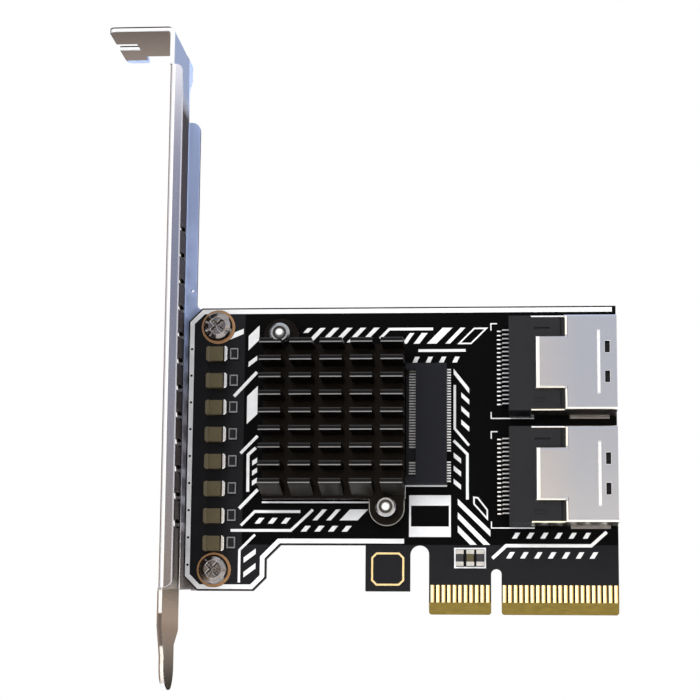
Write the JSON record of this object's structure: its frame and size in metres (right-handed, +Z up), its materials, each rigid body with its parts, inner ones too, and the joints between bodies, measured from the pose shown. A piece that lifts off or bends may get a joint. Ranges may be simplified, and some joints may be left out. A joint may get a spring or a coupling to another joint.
{
  "type": "storage expansion card",
  "caption": "Black storage expansion card for a short edge slot, with a folded full-height bracket, a finned black heat sink and side-facing cable ports in metal shells.",
  "frame": {"origin": "the middle of the key notch in the edge connector, on the component face, at the level of the contact edge", "axes": "+Z is up, out of the slot; +X runs along the edge connector, away from the bracket; the component side faces -Y"},
  "size_m": [0.0925, 0.0216, 0.12],
  "materials": {
    "board_laminate": "black solder mask over glass-fibre laminate, semi-gloss",
    "contact_gold": "gold-plated copper, bright",
    "pad_copper": "tinned copper round the screws, dull reddish brown",
    "legend_ink": "white printed ink, matt",
    "bracket_nickel": "nickel-plated sheet steel, satin",
    "screw_steel": "nickel-plated steel, bright",
    "pin_metal": "bright metal",
    "spring_steel": "spring wire, bright",
    "housing_plastic": "black glass-filled moulding, fine matt",
    "shell_nickel": "nickel-plated sheet, satin",
    "chip_moulding": "black epoxy moulding, matt",
    "pad_silicone": "grey silicone pad, matt",
    "sink_anodised": "black anodised extrusion, satin",
    "socket_plastic": "black moulding, matt",
    "contact_tin": "tin plate, dull",
    "capacitor_ceramic": "olive-brown fired ceramic, matt",
    "resistor_glaze": "black glaze"
  },
  "bodies": {
    "root": {"circuit_board": "board_laminate", "edge_contacts_front": "contact_gold", "edge_contacts_back": "contact_gold", "white_legend": "legend_ink", "tab_badge": "contact_gold", "screw_pads": "pad_copper", "bracket": "bracket_nickel", "bracket_screw_upper": "screw_steel", "heat_sink_pin_upper": "pin_metal", "heat_sink_spring_upper": "spring_steel", "upper_port_housing": "housing_plastic", "upper_port_shell": "shell_nickel", "upper_port_contacts": "contact_gold", "bracket_screw_lower": "screw_steel", "heat_sink_pin_lower": "pin_metal", "heat_sink_spring_lower": "spring_steel", "lower_port_housing": "housing_plastic", "lower_port_shell": "shell_nickel", "lower_port_contacts": "contact_gold", "controller_chip": "chip_moulding", "thermal_pad": "pad_silicone", "heat_sink": "sink_anodised", "module_socket_body": "socket_plastic", "module_socket_contacts": "contact_tin", "capacitor_body_1": "capacitor_ceramic", "capacitor_ends_1": "contact_tin", "capacitor_body_2": "capacitor_ceramic", "capacitor_ends_2": "contact_tin", "capacitor_body_3": "capacitor_ceramic", "capacitor_ends_3": "contact_tin", "capacitor_body_4": "capacitor_ceramic", "capacitor_ends_4": "contact_tin", "capacitor_body_5": "capacitor_ceramic", "capacitor_ends_5": "contact_tin", "capacitor_body_6": "capacitor_ceramic", "capacitor_ends_6": "contact_tin", "capacitor_body_7": "capacitor_ceramic", "capacitor_ends_7": "contact_tin", "capacitor_body_8": "capacitor_ceramic", "capacitor_ends_8": "contact_tin", "small_chip_1": "resistor_glaze", "small_chip_ends_1": "contact_tin", "small_chip_2": "capacitor_ceramic", "small_chip_ends_2": "contact_tin", "small_chip_3": "resistor_glaze", "small_chip_ends_3": "contact_tin"}
  },
  "joints": []
}
